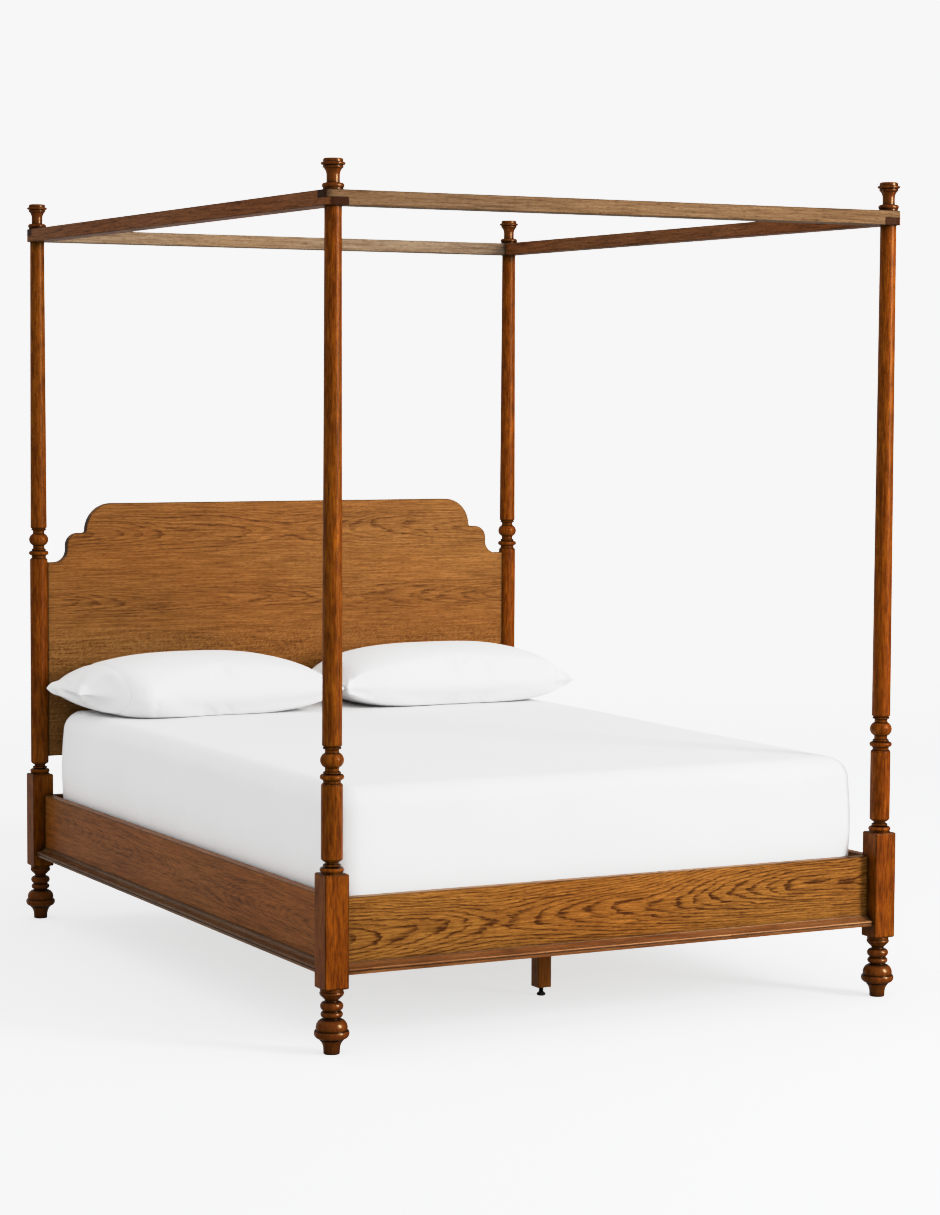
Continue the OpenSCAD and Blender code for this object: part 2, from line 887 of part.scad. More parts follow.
leveller_stem(2);  // leveller_stem_back
leveller_pad(0);  // leveller_pad_front
leveller_pad(1);  // leveller_pad_middle
leveller_pad(2);  // leveller_pad_back
mattress();
pillow(-1);  // pillow_left
pillow(1);  // pillow_right
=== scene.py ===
import math

import bpy
from mathutils import Matrix, Vector, noise


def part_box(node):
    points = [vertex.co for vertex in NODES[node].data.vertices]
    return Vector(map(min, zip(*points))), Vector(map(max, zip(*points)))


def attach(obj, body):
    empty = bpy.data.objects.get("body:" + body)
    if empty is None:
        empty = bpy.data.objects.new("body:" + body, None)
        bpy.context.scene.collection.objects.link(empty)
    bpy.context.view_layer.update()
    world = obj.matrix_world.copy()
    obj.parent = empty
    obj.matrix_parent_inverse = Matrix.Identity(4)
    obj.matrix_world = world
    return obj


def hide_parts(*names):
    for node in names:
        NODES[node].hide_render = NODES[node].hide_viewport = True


# A four poster canopy bed in stained oak: materials for the CAD pieces, and the mattress, its
# fitted sheet and the pillows as cloth. Everything is in metres, in the CAD model's frame.

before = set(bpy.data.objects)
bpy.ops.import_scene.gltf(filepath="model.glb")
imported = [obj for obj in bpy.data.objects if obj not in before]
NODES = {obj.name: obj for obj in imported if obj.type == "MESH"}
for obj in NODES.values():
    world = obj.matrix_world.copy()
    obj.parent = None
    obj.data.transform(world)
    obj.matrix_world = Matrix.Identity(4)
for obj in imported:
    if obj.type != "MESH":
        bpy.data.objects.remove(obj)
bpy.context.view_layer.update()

CORNERS = ("front_left", "front_right", "back_left", "back_right")
LEGS = ("front", "middle", "back")

# ---------- camera ----------

# The photograph's camera: turned from straight along the bed, tilted down and rolled
CAMERA_TURN = math.radians(27.47)
CAMERA_DROP = math.radians(4.11)
CAMERA_ROLL = math.radians(0.29)
CAMERA_PLACE = Vector((-3.865, -7.664, 1.617))
SENSOR = 36.0
LENS = 89.34


def add_camera():
    data = bpy.data.cameras.new("camera")
    data.sensor_width = SENSOR
    data.lens = LENS
    data.clip_start = 0.1
    data.clip_end = 200.0
    camera = bpy.data.objects.new("camera", data)
    bpy.context.scene.collection.objects.link(camera)
    ahead = Vector((math.sin(CAMERA_TURN) * math.cos(CAMERA_DROP),
                    math.cos(CAMERA_TURN) * math.cos(CAMERA_DROP),
                    -math.sin(CAMERA_DROP)))
    level = Vector((math.cos(CAMERA_TURN), -math.sin(CAMERA_TURN), 0.0))
    upright = level.cross(ahead)
    right = level * math.cos(CAMERA_ROLL) + upright * math.sin(CAMERA_ROLL)
    up = upright * math.cos(CAMERA_ROLL) - level * math.sin(CAMERA_ROLL)
    turn = Matrix((right, up, -ahead)).transposed().to_4x4()
    camera.matrix_world = Matrix.Translation(CAMERA_PLACE) @ turn
    bpy.context.scene.camera = camera


# ---------- building node trees ----------


class Graph:
    """The nodes of one material. A value is a number, a colour, or another node's output."""

    def __init__(self, name):
        self.material = bpy.data.materials.new(name)
        self.material.use_nodes = True
        self.tree = self.material.node_tree
        self.tree.nodes.clear()

    def node(self, kind, **settings):
        made = self.tree.nodes.new(kind)
        for key, value in settings.items():
            setattr(made, key, value)
        return made

    def feed(self, socket, value):
        if isinstance(value, bpy.types.NodeSocket):
            self.tree.links.new(value, socket)
        else:
            socket.default_value = value

    def math(self, operation, a, b=0.0, c=0.0):
        made = self.node("ShaderNodeMath", operation=operation)
        for socket, value in zip(made.inputs, (a, b, c)):
            self.feed(socket, value)
        return made.outputs[0]

    def place(self):
        return self.node("ShaderNodeTexCoord").outputs["Object"]

    def parts(self, vector):
        made = self.node("ShaderNodeSeparateXYZ")
        self.feed(made.inputs[0], vector)
        return made.outputs

    def vector(self, x, y, z):
        made = self.node("ShaderNodeCombineXYZ")
        for socket, value in zip(made.inputs, (x, y, z)):
            self.feed(socket, value)
        return made.outputs[0]

    def noise(self, vector, detail=2.0, rough=0.5, scale=1.0):
        made = self.node("ShaderNodeTexNoise")
        self.feed(made.inputs["Vector"], vector)
        made.inputs["Scale"].default_value = scale
        made.inputs["Detail"].default_value = detail
        made.inputs["Roughness"].default_value = rough
        return made.outputs[0]

    def range(self, value, low, high, to_low=0.0, to_high=1.0, smooth=False):
        made = self.node("ShaderNodeMapRange")
        made.interpolation_type = "SMOOTHSTEP" if smooth else "LINEAR"
        for key, number in zip(("From Min", "From Max", "To Min", "To Max"), (low, high, to_low, to_high)):
            made.inputs[key].default_value = number
        self.feed(made.inputs["Value"], value)
        return made.outputs[0]

    def ramp(self, value, *stops):
        made = self.node("ShaderNodeValToRGB")
        elements = made.color_ramp.elements
        while len(elements) < len(stops):
            elements.new(0.5)
        for element, (place, colour) in zip(elements, stops):
            element.position = place
            element.color = (*colour, 1.0)
        self.feed(made.inputs[0], value)
        return made.outputs[0]

    def mix(self, share, a, b, blend="MIX"):
        made = self.node("ShaderNodeMix", data_type="RGBA", blend_type=blend)
        self.feed(made.inputs[0], share)
        for socket, value in ((made.inputs[6], a), (made.inputs[7], b)):
            self.feed(socket, (*value, 1.0) if isinstance(value, tuple) else value)
        return made.outputs[2]

    def occlusion(self, distance):
        made = self.node("ShaderNodeAmbientOcclusion", samples=6, only_local=False)
        made.inputs["Distance"].default_value = distance
        return made.outputs["AO"]

    def sanded(self, radius):
        """The surface's normal with its sharp edges rounded over."""
        made = self.node("ShaderNodeBevel", samples=4)
        made.inputs["Radius"].default_value = radius
        return made.outputs[0]

    def turned_away(self, normal):
        """How far a normal has turned from the true surface, 0 to 1."""
        made = self.node("ShaderNodeVectorMath", operation="DOT_PRODUCT")
        self.feed(made.inputs[0], self.node("ShaderNodeNewGeometry").outputs["Normal"])
        self.feed(made.inputs[1], normal)
        return self.range(made.outputs["Value"], 0.93, 0.998, 1.0, 0.0)

    def bump(self, height, strength, distance, normal=None):
        made = self.node("ShaderNodeBump")
        if normal is not None:
            self.feed(made.inputs["Normal"], normal)
        made.inputs["Strength"].default_value = strength
        made.inputs["Distance"].default_value = distance
        self.feed(made.inputs["Height"], height)
        return made.outputs[0]

    def finish(self, colour, roughness, normal=None, **plain):
        """The Principled shader; plain values are set on its own sockets."""
        shader = self.node("ShaderNodeBsdfPrincipled")
        self.feed(shader.inputs["Base Color"], (*colour, 1.0) if isinstance(colour, tuple) else colour)
        self.feed(shader.inputs["Roughness"], roughness)
        if normal is not None:
            self.feed(shader.inputs["Normal"], normal)
        for key, value in plain.items():
            shader.inputs[key.replace("_", " ")].default_value = value
        out = self.node("ShaderNodeOutputMaterial")
        self.tree.links.new(shader.outputs[0], out.inputs[0])
        return self.material


def dress(material, *nodes):
    """Gives CAD nodes a material."""
    for name in nodes:
        piece = NODES[name]
        piece.data.materials.clear()
        piece.data.materials.append(material)


# ---------- oak ----------

# Tones of the stained oak, from the pores to the latewood; some sets are paled or darkened by painted light
# and shade, as said at each
RAIL_TONES = ((0.052, 0.014, 0.0020), (0.186, 0.086, 0.016), (0.272, 0.142, 0.034))
HEAD_TONES = ((0.062, 0.019, 0.0030), (0.168, 0.078, 0.018), (0.240, 0.126, 0.040))
SIDE_TONES = ((0.065, 0.022, 0.0036), (0.210, 0.080, 0.014), (0.285, 0.120, 0.026))
POST_TONES = ((0.014, 0.0035, 0.0005), (0.122, 0.032, 0.0015), (0.235, 0.083, 0.0050))
DARK_TONES = ((0.012, 0.003, 0.0008), (0.092, 0.024, 0.0020), (0.190, 0.058, 0.0060))
# The canopy's front and back rails: the oak paled and greyed by a painted reflection and painted light, the
# haze their faces catch; the sides' tones are the plain stain
CANOPY_FRONT_HAZE_TONES = ((0.055, 0.028, 0.014), (0.132, 0.090, 0.054), (0.178, 0.130, 0.086))
CANOPY_BACK_HAZE_TONES = ((0.100, 0.060, 0.036), (0.200, 0.150, 0.105), (0.250, 0.200, 0.150))
BEAM_TONES = ((0.050, 0.018, 0.005), (0.170, 0.070, 0.026), (0.230, 0.105, 0.042))
# The centre legs: the oak lightened by painted light, the bounce from the floor under the bed
LEG_BOUNCE_LIT_TONES = ((0.050, 0.014, 0.0020), (0.240, 0.082, 0.0120), (0.330, 0.125, 0.020))
EDGE_TONES = ((0.028, 0.009, 0.0022), (0.135, 0.056, 0.018), (0.225, 0.118, 0.048))
# The side mouldings: the foot moulding's tones darkened by painted shade, for the side turned away from the
# lamp
SIDE_MOULDING_SHADED_TONES = ((0.020, 0.007, 0.0020), (0.105, 0.045, 0.015), (0.170, 0.085, 0.036))
# Near black: painted shade in the corners, grooves and creases and along the edges, which at the joints also
# stands for their dark lines
SHADE_AND_SEAM_DARK = (0.008, 0.0022, 0.0006)
END_GRAIN = (0.030, 0.010, 0.005)
BLUSH = (1.0, 0.80, 0.55)
LACQUER = (1.0, 0.72, 0.42, 1.0)


class Heart:
    """The tree's heart behind a board's face: its rings come out as nested arches along it.

    across: where its line crosses the face at the board's middle, and lean: how that shifts per metre;
    depth: how far it lies behind the face where it is deepest, at turning along the board; slope: how
    fast it comes nearer away from there, so that arches point towards turning; reach: how far from the
    line its arches show; spacing: one ring's width.
    """

    def __init__(self, across, depth, turning=0.0, slope=0.06, lean=0.0, reach=0.1, spacing=0.005):
        self.across = across
        self.depth = depth
        self.turning = turning
        self.slope = slope
        self.lean = lean
        self.reach = reach
        self.spacing = spacing


# How blunt the arches' tips are; how far a heart's line wanders to the side and in depth; how ragged
# and how uneven its rings are; and the tone about which contrast works
TURN_ROUND = 0.06
WANDER_SIDE = 0.035
WANDER_DEPTH = 0.030
RING_JAG = 0.0055
RING_DRIFT = 0.006
MEAN_TONE = 0.64


def arches(g, heart, along, across, wander, jag):
    """The dark rings round one heart, 0 to 1."""
    side = g.math("SUBTRACT", g.math("MULTIPLY_ADD", along, -heart.lean, across), heart.across)
    side = g.math("MULTIPLY_ADD", wander, WANDER_SIDE, side)
    off = g.math("SUBTRACT", along, heart.turning)
    away = g.math("SQRT", g.math("MULTIPLY_ADD", off, off, TURN_ROUND ** 2))
    depth = g.math("MULTIPLY_ADD", away, -heart.slope, heart.depth)
    depth = g.math("MULTIPLY_ADD", wander, WANDER_DEPTH, depth)
    reach = g.math("SQRT", g.math("ADD", g.math("MULTIPLY", side, side), g.math("MULTIPLY", depth, depth)))
    reach = g.math("MULTIPLY_ADD", jag, RING_JAG, reach)
    drift = g.math("SUBTRACT", g.noise(g.vector(g.math("MULTIPLY", reach, 45.0), 0.0, 0.0), 1.0), 0.5)
    count = g.math("DIVIDE", g.math("MULTIPLY_ADD", drift, RING_DRIFT, reach), heart.spacing)
    turn = g.math("FRACT", count)
    rise = g.range(turn, 0.50, 0.90, smooth=True)
    fall = g.range(turn, 0.94, 1.0, 1.0, 0.0)
    strength = g.node("ShaderNodeTexWhiteNoise", noise_dimensions="1D")
    g.feed(strength.inputs["W"], g.math("FLOOR", count))
    ring = g.math("MULTIPLY", rise, fall)
    ring = g.math("MULTIPLY", ring, g.range(strength.outputs[0], 0.0, 1.0, 0.6, 1.0))
    window = g.range(g.math("ABSOLUTE", side), heart.reach * 0.55, heart.reach, 1.0, 0.0, smooth=True)
    return g.math("MULTIPLY", ring, window)


def oak(name, grain, centre, tones, hearts, face="", mirrored=(), figure=1.0, corner_shade=0.85,
        shade_depth=0.012, flecks=None, gloss=0.33, seed=0.0, patches=0.0, contrast=1.0,
        edge=0.003, rim=0.55, shine=0.16, short=1.0, relief=0.25):
    """Stained oak with its grain along the axis called grain.

    centre is the middle of the board; tones are its pores', its middle and its palest colour; hearts
    are where its arches come from, and figure is how strongly they show; face is the axis its broad
    face looks along; mirrored holds the axes whose sign is dropped, so that pieces on both sides of
    the bed share their centre; corner_shade is how dark the painted shade lies in the corners and
    grooves, and shade_depth how near another surface has to be; flecks is the height below which the
    board shows the flecked figure of quarter-sawn oak; patches is how unevenly the stain took;
    contrast is how far the streaks stand out; edge is the radius to which the sharp edges are sanded,
    and rim how dark the painted shade lies along them and in the creases, which at the joints also
    stands for their dark lines; gloss is the lacquer's roughness and shine its strength; short is
    how many times shorter the streaks are; relief is how open the grain feels.
    """
    g = Graph(name)
    place = dict(zip("xyz", g.parts(g.place())))
    local = {}
    for axis, origin in zip("xyz", centre):
        value = g.math("ABSOLUTE", place[axis]) if axis in mirrored else place[axis]
        local[axis] = g.math("SUBTRACT", value, origin)
    others = [axis for axis in "xyz" if axis != grain]
    if face:
        others.sort(key=lambda axis: axis == face)
    along, across = local[grain], local[others[0]]
    raw_along, raw_across, raw_deep = place[grain], place[others[0]], place[others[1]]

    def stretched(long, wide, shift=0.0):
        return g.vector(g.math("MULTIPLY_ADD", raw_along, long, seed + shift),
                        g.math("MULTIPLY", raw_across, wide), g.math("MULTIPLY", raw_deep, wide))

    def centred(value):
        return g.math("SUBTRACT", value, 0.5)

    wander = centred(g.noise(stretched(2.1, 7.0, 3.1), 1.0))
    jag = centred(g.noise(stretched(13.0, 75.0, 7.7), 3.0, 0.62))
    rings = None
    for heart in hearts:
        found = arches(g, heart, along, across, wander, jag)
        rings = found if rings is None else g.math("MAXIMUM", rings, found)
    streak = g.noise(stretched(9.0 * short, 230.0, 1.3), 3.0, 0.6)
    fine = g.noise(stretched(60.0, 900.0, 5.9), 2.0, 0.6)
    cloud = g.noise(stretched(2.2, 9.0, 9.4), 2.0)
    broken = g.range(g.noise(stretched(45.0, 420.0, 2.2), 2.0), 0.34, 0.58, 0.45, 1.0)
    rings = g.math("MULTIPLY", g.math("MULTIPLY", rings, broken), figure)
    tone = g.range(streak, 0.32, 0.68, 0.30, 0.98)
    tone = g.math("MULTIPLY_ADD", centred(fine), 0.5, tone)
    tone = g.math("MULTIPLY_ADD", centred(cloud), 0.5, tone)
    tone = g.math("MULTIPLY_ADD", g.math("SUBTRACT", tone, MEAN_TONE), contrast, MEAN_TONE)
    if patches:
        blots = centred(g.noise(stretched(9.0 * short, 75.0, 8.2), 3.0, 0.65))
        tone = g.math("MULTIPLY_ADD", blots, patches, tone)
    if flecks is not None:
        slant = g.vector(g.math("MULTIPLY", g.math("ADD", raw_along, raw_across), 55.0),
                         g.math("MULTIPLY", g.math("SUBTRACT", raw_along, raw_across), 210.0), seed)
        marks = g.range(g.noise(slant, 2.0, 0.6), 0.42, 0.62, -0.26, 0.40)
        zone = g.range(place["z"], flecks - 0.05, flecks + 0.05, 1.0, 0.0, smooth=True)
        tone = g.math("ADD", tone, g.math("MULTIPLY", marks, zone))
    tone = g.math("SUBTRACT", tone, g.math("MULTIPLY", rings, 0.85))
    dark, mid, light = tones
    colour = g.ramp(tone, (0.0, dark), (0.5, mid), (1.0, light))
    pores = g.range(g.noise(stretched(48.0, 820.0, 4.4), 2.0, 0.6), 0.54, 0.64)
    colour = g.mix(g.math("MULTIPLY", pores, 0.68 * contrast), colour, dark)
    blush = g.range(g.noise(stretched(1.1, 3.0, 6.6), 1.0), 0.40, 0.62)
    colour = g.mix(g.math("MULTIPLY", blush, 0.55), colour, BLUSH, "MULTIPLY")
    sanded = g.sanded(edge)
    # Painted shade along the sharp edges and in the creases, which at the joints also stands for their dark
    # lines
    colour = g.mix(g.math("MULTIPLY", g.turned_away(sanded), rim), colour, SHADE_AND_SEAM_DARK)
    facing = g.parts(g.node("ShaderNodeNewGeometry").outputs["Normal"])["xyz".index(grain)]
    end_grain = g.range(g.math("ABSOLUTE", facing), 0.75, 0.92)
    colour = g.mix(g.math("MULTIPLY", end_grain, 0.93), colour, END_GRAIN)
    # Painted shade: darker where another surface is near, in the corners and grooves
    painted_corner_shade = g.range(g.occlusion(shade_depth), 0.34, 0.93, corner_shade, 0.0)
    colour = g.mix(painted_corner_shade, colour, SHADE_AND_SEAM_DARK)
    rough = g.math("MULTIPLY_ADD", rings, 0.10, g.range(streak, 0.3, 0.7, gloss + 0.05, gloss - 0.03))
    height = g.math("SUBTRACT", g.math("MULTIPLY", fine, 0.4), g.math("MULTIPLY", pores, 0.6))
    return g.finish(colour, rough, g.bump(height, relief, 0.0004, sanded),
                    Specular_IOR_Level=shine, Specular_Tint=LACQUER)


def middle(*names):
    """The middle of some CAD nodes' box."""
    boxes = [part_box(name) for name in names]
    low = [min(b[0][k] for b in boxes) for k in range(3)]
    high = [max(b[1][k] for b in boxes) for k in range(3)]
    return tuple((a + b) / 2 for a, b in zip(low, high))


def post_centre():
    """The right back post's axis, which all four posts share when signs are dropped."""
    x, y, _ = middle("upper_post_back_right")
    return x, y, 0.0


def wood_posts():
    centre = post_centre()
    hearts = [Heart(0.012, 0.040, 1.1, slope=0.010, reach=0.2, spacing=0.0045)]
    posts = oak("oak_posts", "z", centre, POST_TONES, hearts, mirrored="xy", figure=0.15, corner_shade=0.97,
                shade_depth=0.032, gloss=0.32, patches=0.8, contrast=0.7, edge=0.004, rim=0.85, shine=0.17,
                short=2.0, relief=0.10)
    dress(posts, *(f"{part}_post_{c}" for part in ("lower", "upper") for c in CORNERS))
    turned = oak("oak_turned", "z", centre, DARK_TONES, hearts, mirrored="xy", figure=0.1, corner_shade=0.97,
                 shade_depth=0.032, gloss=0.27, patches=0.7, contrast=0.4, shine=0.6, relief=0.03, seed=4.0)
    dress(turned, *(f"{part}_{c}" for part in ("bun_foot", "finial") for c in CORNERS))


def wood_rails():
    foot = [Heart(0.012, 0.115, -0.36, slope=0.062, lean=0.03, reach=0.12, spacing=0.0046)]
    dress(oak("oak_foot_rail", "x", middle("foot_rail"), RAIL_TONES, foot, face="y", edge=0.004, rim=0.85),
          "foot_rail")
    side = [Heart(0.015, 0.100, -0.1, slope=0.055, lean=0.015, reach=0.10, spacing=0.0036)]
    dress(oak("oak_side_rails", "y", middle("side_rail_right"), SIDE_TONES, side, face="x", mirrored="x",
              figure=0.42, edge=0.004, rim=0.85, seed=2.0), "side_rail_left", "side_rail_right")
    # The head rail takes the darkest tones: painted shade, for the rail that sits in the shadow behind the
    # mattress
    dress(oak("oak_head_rail", "x", middle("head_rail"), DARK_TONES, foot, face="y", seed=6.0),
          "head_rail")
    thin = [Heart(0.0, 0.09, 0.0, slope=0.01, reach=0.2)]
    dress(oak("oak_foot_moulding", "x", middle("foot_moulding"), EDGE_TONES, thin, face="y",
              figure=0.3, shade_depth=0.013, contrast=0.6, edge=0.001, rim=0.3, gloss=0.25,
              shine=0.5, relief=0.06, seed=8.0), "foot_moulding")
    # The side mouldings take a darker copy of the foot moulding's tones: painted shade
    dress(oak("oak_side_mouldings", "y", middle("side_moulding_right"), SIDE_MOULDING_SHADED_TONES, thin, face="x",
              mirrored="x", figure=0.3, shade_depth=0.013, contrast=0.6, edge=0.001, rim=0.3,
              gloss=0.25, shine=0.5, relief=0.06, seed=9.0),
          "side_moulding_left", "side_moulding_right")


# How far below the headboard's top its two bands of arches lie, and its flecked foot starts
HEADBOARD_FIGURE = (0.095, 0.305, 0.40)


def wood_headboard():
    centre = middle("headboard_panel")
    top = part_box("headboard_panel")[1].z
    upper_band, lower_band, flecked = (top - down for down in HEADBOARD_FIGURE)
    upper = Heart(upper_band - centre[2], 0.080, 0.02, slope=0.036, reach=0.09, spacing=0.0042)
    lower = Heart(lower_band - centre[2], 0.070, 0.15, slope=0.040, reach=0.055, spacing=0.0040)
    dress(oak("oak_headboard", "x", centre, HEAD_TONES, [upper, lower], face="y", figure=0.62,
              flecks=flecked, edge=0.005, rim=0.9, seed=1.0), "headboard_panel")


def wood_canopy():
    thin = [Heart(0.02, 0.06, 0.3, slope=0.02, reach=0.1)]
    # The front and back rails take tones paled by a painted reflection and painted light
    for end, tones in (("front", CANOPY_FRONT_HAZE_TONES), ("back", CANOPY_BACK_HAZE_TONES)):
        rail = f"canopy_rail_{end}"
        dress(oak(f"oak_{rail}", "x", middle(rail), tones, thin, face="y", figure=0.3, edge=0.004,
                  rim=0.95, shine=0.03, seed=3.0), rail)
    dress(oak("oak_canopy_sides", "y", middle("canopy_rail_right"), BEAM_TONES, thin, face="x",
              mirrored="x", figure=0.3, edge=0.004, rim=0.95, shine=0.03, seed=5.0),
          "canopy_rail_left", "canopy_rail_right")


def wood_legs():
    hearts = [Heart(0.03, 0.04, 0.0, slope=0.02, reach=0.2)]
    # The legs' tones are lightened by painted light from the floor under the bed
    dress(oak("oak_legs", "z", middle("centre_leg_middle"), LEG_BOUNCE_LIT_TONES, hearts, figure=0.3,
              contrast=0.6, seed=7.0), *(f"centre_leg_{leg}" for leg in LEGS))


def pine():
    """Planed pine of the slats, the ledgers and the centre beam."""
    g = Graph("pine")
    x, y, z = g.parts(g.place())
    streak = g.noise(g.vector(g.math("MULTIPLY", x, 3.0), g.math("MULTIPLY", y, 60.0),
                              g.math("MULTIPLY", z, 60.0)), 3.0, 0.6)
    colour = g.ramp(streak, (0.3, (0.42, 0.24, 0.10)), (0.55, (0.60, 0.40, 0.20)), (0.8, (0.68, 0.48, 0.26)))
    material = g.finish(colour, g.range(streak, 0.3, 0.7, 0.55, 0.7), g.bump(streak, 0.2, 0.0005))
    dress(material, "slats", "ledger_left", "ledger_right", "centre_beam")


def metals():
    def metal(name, colour, rough, metallic):
        g = Graph(name)
        marks = g.noise(g.place(), 3.0, 0.6, 90.0)
        dark = tuple(0.8 * c for c in colour)
        worn = g.range(marks, 0.3, 0.7, rough, rough + 0.12)
        return g.finish(g.ramp(marks, (0.3, dark), (0.7, colour)), worn, g.bump(marks, 0.1, 0.0002),
                        Metallic=metallic)

    zinc = metal("zinc_steel", (0.55, 0.56, 0.58), 0.30, 1.0)
    dress(zinc, "canopy_pins", "post_joint_studs", "bun_foot_studs", "rail_hook_plates",
          "post_slot_plates", "plate_screws", "ledger_screws", "beam_hangers", "hanger_screws",
          "slat_screws", "leg_studs", "leveller_inserts")
    dress(metal("black_steel", (0.025, 0.025, 0.026), 0.38, 1.0), *(f"leveller_stem_{leg}" for leg in LEGS))
    dress(metal("black_plastic", (0.014, 0.014, 0.014), 0.45, 0.0), *(f"leveller_pad_{leg}" for leg in LEGS))


# ---------- cloth ----------

# The attribute that counts along a pillow from -1 to 1, and a seam's half width in it
ALONG = "along"
STITCH = 0.004


def cotton(name, colour, weave=3200.0, seam=None):
    """White cotton: a fine plain weave with slight slubs and soft unevenness.

    seam is where along the pillow its cuff is sewn on, from -1 to 1.
    """
    g = Graph(name)
    x, y, z = g.parts(g.place())
    warp = g.math("SINE", g.math("MULTIPLY", g.math("ADD", x, g.math("MULTIPLY", z, 0.5)), weave))
    weft = g.math("SINE", g.math("MULTIPLY", g.math("ADD", y, g.math("MULTIPLY", z, 0.5)), weave))
    threads = g.math("MULTIPLY", warp, weft)
    slub = g.noise(g.place(), 3.0, 0.6, 60.0)
    soft = g.noise(g.place(), 2.0, 0.5, 5.0)
    tone = g.math("ADD", g.math("MULTIPLY", slub, 0.35), g.math("MULTIPLY", soft, 0.65))
    pale = tuple(min(1.0, 1.02 * c) for c in colour)
    shade = tuple(0.965 * c for c in colour)
    height = g.math("MULTIPLY_ADD", threads, 0.15, g.math("MULTIPLY", slub, 0.6))
    shown = g.ramp(tone, (0.3, shade), (0.7, pale))
    if seam is not None:
        along = g.node("ShaderNodeAttribute", attribute_name=ALONG).outputs["Fac"]
        off = g.math("SUBTRACT", along, seam)
        sewn = g.range(g.math("ABSOLUTE", off), 0.0, STITCH, 1.0, 0.0, smooth=True)
        cuff = g.range(g.math("MULTIPLY", off, math.copysign(1.0, seam)), 0.0, STITCH)
        height = g.math("ADD", height, g.math("SUBTRACT", g.math("MULTIPLY", cuff, 1.5),
                                              g.math("MULTIPLY", sewn, 3.0)))
        # Painted shade along the seam: the cloth is darkened where it is stitched
        shown = g.mix(g.math("MULTIPLY", sewn, 0.5), shown, tuple(0.62 * c for c in colour))
    return g.finish(shown, g.range(slub, 0.3, 0.7, 0.8, 0.9),
                    g.bump(height, 0.12, 0.0008), Sheen_Weight=0.12, Sheen_Roughness=0.5,
                    Specular_IOR_Level=0.15)


def add_mesh(name, points, faces, material, body):
    """A smooth piece from points and faces, which rides on a body."""
    mesh = bpy.data.meshes.new(name)
    mesh.from_pydata(points, [], faces)
    mesh.update()
    mesh.materials.append(material)
    piece = bpy.data.objects.new(name, mesh)
    bpy.context.scene.collection.objects.link(piece)
    for face in mesh.polygons:
        face.use_smooth = True
    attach(piece, body)
    return piece


# The mattress's radii in plan and at its lower and upper edges, and how far its sides belly out
MATTRESS_CORNER = 0.058
LOWER_EDGE = 0.03
UPPER_EDGE = 0.060
SIDE_BULGE = 0.006
SIDE_STEPS = 12
# How far the shells keep from the box's top and bottom
HEM = 0.003
# Where the shells run under the mattress, and which of those rings the sheet starts at
HEM_INSETS = (0.30, 0.25, 0.20, 0.15, 0.10)
SHEET_FROM = 3
SHEET_THICKNESS = 0.0008
# Steps along the short and long sides, steps round a corner, and rings across the top
CORE_GRID = ((26, 34), 8, 14)
SHEET_GRID = ((40, 52), 10, 18)


def ring_of_mattress(inset, width, length, radius, steps, corner_steps):
    """One closed loop round a rounded rectangle that lies inset from the mattress's side."""
    half_x, half_y = width / 2 - inset, length / 2 - inset
    r = max(radius - inset, 0.004)
    loop = []
    for cx, cy, start in ((1, 1, 0.0), (-1, 1, 0.5), (-1, -1, 1.0), (1, -1, 1.5)):
        middle_x, middle_y = cx * (half_x - r), cy * (half_y - r)
        for k in range(corner_steps + 1):
            angle = math.pi * (start + 0.5 * k / corner_steps)
            loop.append((middle_x + r * math.cos(angle), middle_y + r * math.sin(angle)))
        nx, ny = ((-1, 1), (-1, -1), (1, -1), (1, 1))[int(start * 2)]
        end = loop[-1]
        if start in (0.0, 1.0):
            target = (nx * (half_x - r), end[1])
        else:
            target = (end[0], ny * (half_y - r))
        count = steps[0] if start in (0.0, 1.0) else steps[1]
        for k in range(1, count):
            t = k / count
            loop.append((end[0] + (target[0] - end[0]) * t, end[1] + (target[1] - end[1]) * t))
    return loop


def mattress_shell(profile, crown, size, radius, steps, corner_steps, cap_rings):
    """Points and faces of a shell: profile is (inset, height) from the lower hem to the top's rim."""
    width, length = size
    points, loops = [], []
    for inset, height in profile:
        loop = ring_of_mattress(inset, width, length, radius, steps, corner_steps)
        loops.append([len(points) + k for k in range(len(loop))])
        points.extend((x, y, height) for x, y in loop)
    rim_inset, rim_height = profile[-1]
    rim = ring_of_mattress(rim_inset, width, length, radius, steps, corner_steps)
    for k in range(1, cap_rings):
        t = k / cap_rings
        scale = 1 - t
        loops.append([len(points) + j for j in range(len(rim))])
        lift = crown * (1 - scale * scale)
        points.extend((x * scale, y * scale, rim_height + lift) for x, y in rim)
    faces = []
    for lower, upper in zip(loops, loops[1:]):
        count = len(lower)
        faces.extend((lower[k], lower[(k + 1) % count], upper[(k + 1) % count], upper[k])
                     for k in range(count))
    points.append((0.0, 0.0, rim_height + crown))
    last = loops[-1]
    faces.extend((last[k], last[(k + 1) % len(last)], len(points) - 1) for k in range(len(last)))
    return points, faces


def rounded_profile(bottom, top, lower_r, upper_r, bulge, steps=9):
    """(inset, height) from the underside's rim, up the side, over the rounded edge to the top."""
    profile = []
    for k in range(steps + 1):
        angle = math.pi / 2 * k / steps
        profile.append((lower_r * (1 - math.sin(angle)), bottom + lower_r * (1 - math.cos(angle))))
    low, high = bottom + lower_r, top - upper_r
    for k in range(1, SIDE_STEPS):
        t = k / SIDE_STEPS
        profile.append((-bulge * math.sin(math.pi * t), low + (high - low) * t))
    for k in range(steps + 1):
        angle = math.pi / 2 * k / steps
        profile.append((upper_r * (1 - math.cos(angle)), high + upper_r * math.sin(angle)))
    return profile


